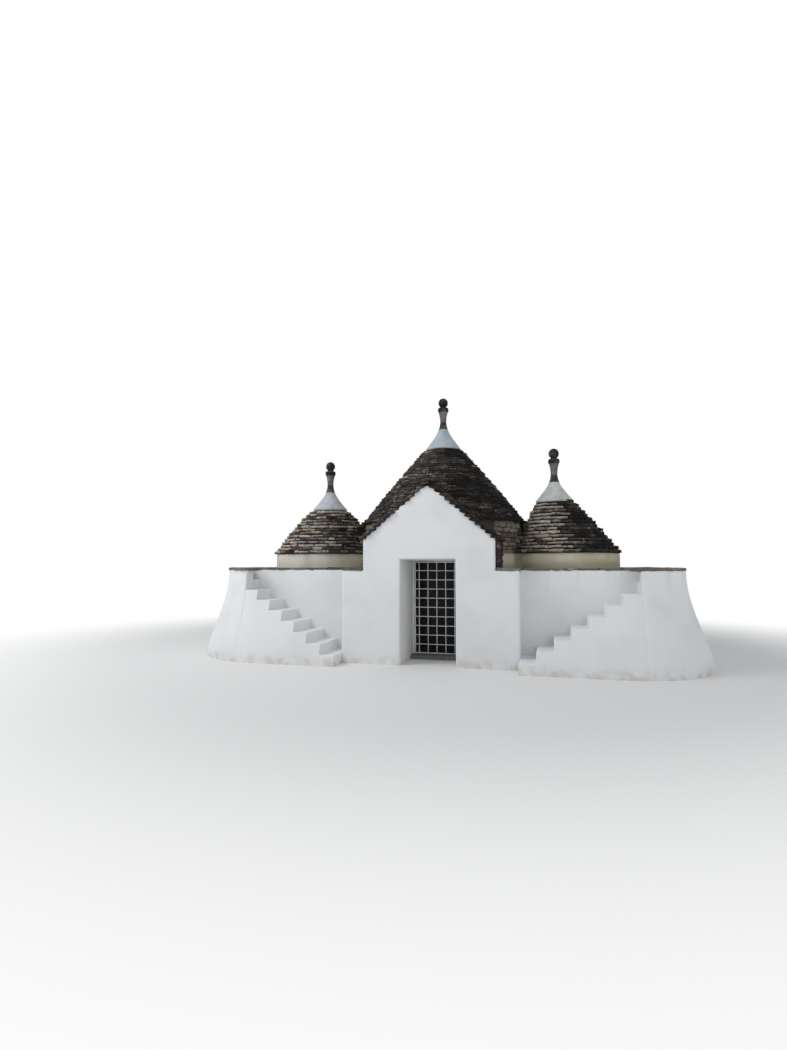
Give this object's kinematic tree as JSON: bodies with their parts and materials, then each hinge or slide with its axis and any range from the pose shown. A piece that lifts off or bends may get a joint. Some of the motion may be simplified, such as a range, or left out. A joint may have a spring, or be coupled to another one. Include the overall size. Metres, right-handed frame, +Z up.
{
  "type": "trullo house",
  "caption": "Whitewashed masonry house under dry-stone cones, with a gabled entrance bay, steps let into the front, domed rooms and a hinged grille door.",
  "frame": {"origin": "middle of the plan between the wall feet, on the ground", "axes": "+X to the right along the front, +Y from the front to the back, +Z up"},
  "size_m": [9.3, 5.3, 5.2492],
  "materials": {
    "limewash": "matte lime plaster, brushed on by hand",
    "band": "bare beige lime render, weathered",
    "roof_stone": "dry-laid flat limestone, grey-brown with lichen",
    "pale_stone": "dressed limestone, weathered",
    "iron": "white gloss paint, slightly worn",
    "glass": "dark window glass"
  },
  "bodies": {
    "house": {"front_wall_left": "limewash", "front_wall_right": "limewash", "front_corner_left": "limewash", "front_corner_right": "limewash", "end_wall_left": "limewash", "end_wall_right": "limewash", "rear_wall_left": "limewash", "rear_wall_middle": "limewash", "rear_wall_right": "limewash", "stair_left": "limewash", "stair_right": "limewash", "jamb_left": "limewash", "jamb_right": "limewash", "gable_wall": "limewash", "bay_vault": "limewash", "bay_roof_left": "roof_stone", "bay_roof_right": "roof_stone", "arch_left": "pale_stone", "arch_right": "pale_stone", "drum_middle": "pale_stone", "drum_left": "band", "drum_right": "band", "dome_middle_rear_right": "pale_stone", "dome_middle_rear_left": "pale_stone", "dome_middle_front_left": "pale_stone", "dome_middle_front_right": "pale_stone", "dome_left": "pale_stone", "dome_right": "pale_stone", "cone_middle": "roof_stone", "cone_left": "roof_stone", "cone_right": "roof_stone", "cap_middle": "limewash", "cap_left": "limewash", "cap_right": "limewash", "pinnacle_middle": "pale_stone", "pinnacle_left": "pale_stone", "pinnacle_right": "pale_stone", "coping_front_left": "roof_stone", "coping_front_right": "roof_stone", "coping_end_left": "roof_stone", "coping_end_right": "roof_stone", "coping_rear": "roof_stone", "floor": "pale_stone", "threshold": "pale_stone", "door_frame": "iron", "door_hinges": "iron"},
    "door": {"door_leaf": "iron", "door_glass": "glass"}
  },
  "joints": [
    {"name": "door_swing", "type": "hinge", "parent": "house", "child": "door", "pos_m": [-0.46, -1.135, 0.92], "axis": [0, 0, 1], "range_deg": [0, 90]}
  ]
}
